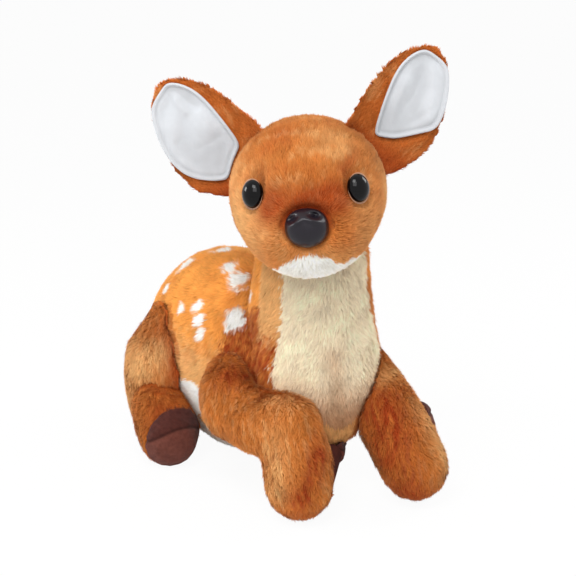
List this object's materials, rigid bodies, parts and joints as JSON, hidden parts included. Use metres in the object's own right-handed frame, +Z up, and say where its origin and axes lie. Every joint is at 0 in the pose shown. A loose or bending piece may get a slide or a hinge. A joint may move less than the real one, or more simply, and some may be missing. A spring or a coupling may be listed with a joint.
{
  "type": "plush fawn",
  "caption": "Soft stuffed fawn lying down with its head turned, a spotted saddle, pale bib, upright lined ears, glossy eyes and suede-like hooves.",
  "frame": {"origin": "middle of the foot of the box around the whole toy, on the surface it lies on", "axes": "+Z up, -Y towards the chest and forelegs, +X to the fawn's own left"},
  "size_m": [0.1526, 0.2466, 0.2651],
  "materials": {
    "brown_fur": "short deep-pile plush",
    "saddle_fur": "short deep-pile plush with white spots",
    "white_fur": "short deep-pile plush",
    "ivory_fur": "short deep-pile plush",
    "white_knit": "smooth brushed knit",
    "suede": "suede-like short nap",
    "canvas": "plain woven cotton, hidden inside",
    "eye_plastic": "polished",
    "nose_plastic": "satin",
    "washer_plastic": "moulded, hidden inside"
  },
  "bodies": {
    "trunk": {"torso": "saddle_fur", "belly_panel": "white_fur", "pellet_bag": "canvas", "neck": "brown_fur", "bib_panel": "ivory_fur"},
    "tail": {"tail": "brown_fur"},
    "head": {"head": "brown_fur", "chin_panel": "white_fur", "eye_right": "eye_plastic", "eye_right_washer": "washer_plastic", "eye_left": "eye_plastic", "eye_left_washer": "washer_plastic", "nose": "nose_plastic", "nose_washer": "washer_plastic"},
    "ear_right": {"ear_right": "brown_fur", "ear_right_lining": "white_knit"},
    "foreleg_right": {"foreleg_right": "brown_fur", "foreleg_right_shin": "brown_fur", "foreleg_right_hoof": "suede"},
    "hind_leg_right": {"thigh_right": "brown_fur", "hind_shin_right": "brown_fur", "hind_hoof_right": "suede"},
    "ear_left": {"ear_left": "brown_fur", "ear_left_lining": "white_knit"},
    "foreleg_left": {"foreleg_left": "brown_fur", "foreleg_left_shin": "brown_fur", "foreleg_left_hoof": "suede"},
    "hind_leg_left": {"thigh_left": "brown_fur", "hind_shin_left": "brown_fur", "hind_hoof_left": "suede"}
  },
  "joints": [
    {"name": "head_turn", "type": "hinge", "parent": "trunk", "child": "head", "pos_m": [0.0045, -0.04481, 0.158], "axis": [0, 0, 1], "range_deg": [-15, 15], "stiffness_Nm_per_rad": 0.4},
    {"name": "tail_lift", "type": "hinge", "parent": "trunk", "child": "tail", "pos_m": [0, 0.10118, 0.08395], "axis": [1, 0, 0], "range_deg": [0, 25], "stiffness_Nm_per_rad": 0.02},
    {"name": "ear_right_bend", "type": "hinge", "parent": "head", "child": "ear_right", "pos_m": [-0.03326, -0.0326, 0.20169], "axis": [0.4131, -0.382, 0.8267], "range_deg": [-20, 20], "stiffness_Nm_per_rad": 0.05},
    {"name": "foreleg_right_spread", "type": "hinge", "parent": "trunk", "child": "foreleg_right", "pos_m": [-0.038, -0.02081, 0.07601], "axis": [0, 0, -1], "range_deg": [0, 12], "stiffness_Nm_per_rad": 0.2},
    {"name": "hind_leg_right_spread", "type": "hinge", "parent": "trunk", "child": "hind_leg_right", "pos_m": [-0.042, 0.05716, 0.046], "axis": [0, 0, -1], "range_deg": [0, 10], "stiffness_Nm_per_rad": 0.2},
    {"name": "ear_left_bend", "type": "hinge", "parent": "head", "child": "ear_left", "pos_m": [0.02613, -0.07266, 0.20946], "axis": [-0.7225, 0.3587, 0.5911], "range_deg": [-20, 20], "stiffness_Nm_per_rad": 0.05},
    {"name": "foreleg_left_spread", "type": "hinge", "parent": "trunk", "child": "foreleg_left", "pos_m": [0.038, -0.02081, 0.07601], "axis": [0, 0, 1], "range_deg": [0, 12], "stiffness_Nm_per_rad": 0.2},
    {"name": "hind_leg_left_spread", "type": "hinge", "parent": "trunk", "child": "hind_leg_left", "pos_m": [0.042, 0.05716, 0.046], "axis": [0, 0, 1], "range_deg": [0, 10], "stiffness_Nm_per_rad": 0.2}
  ]
}
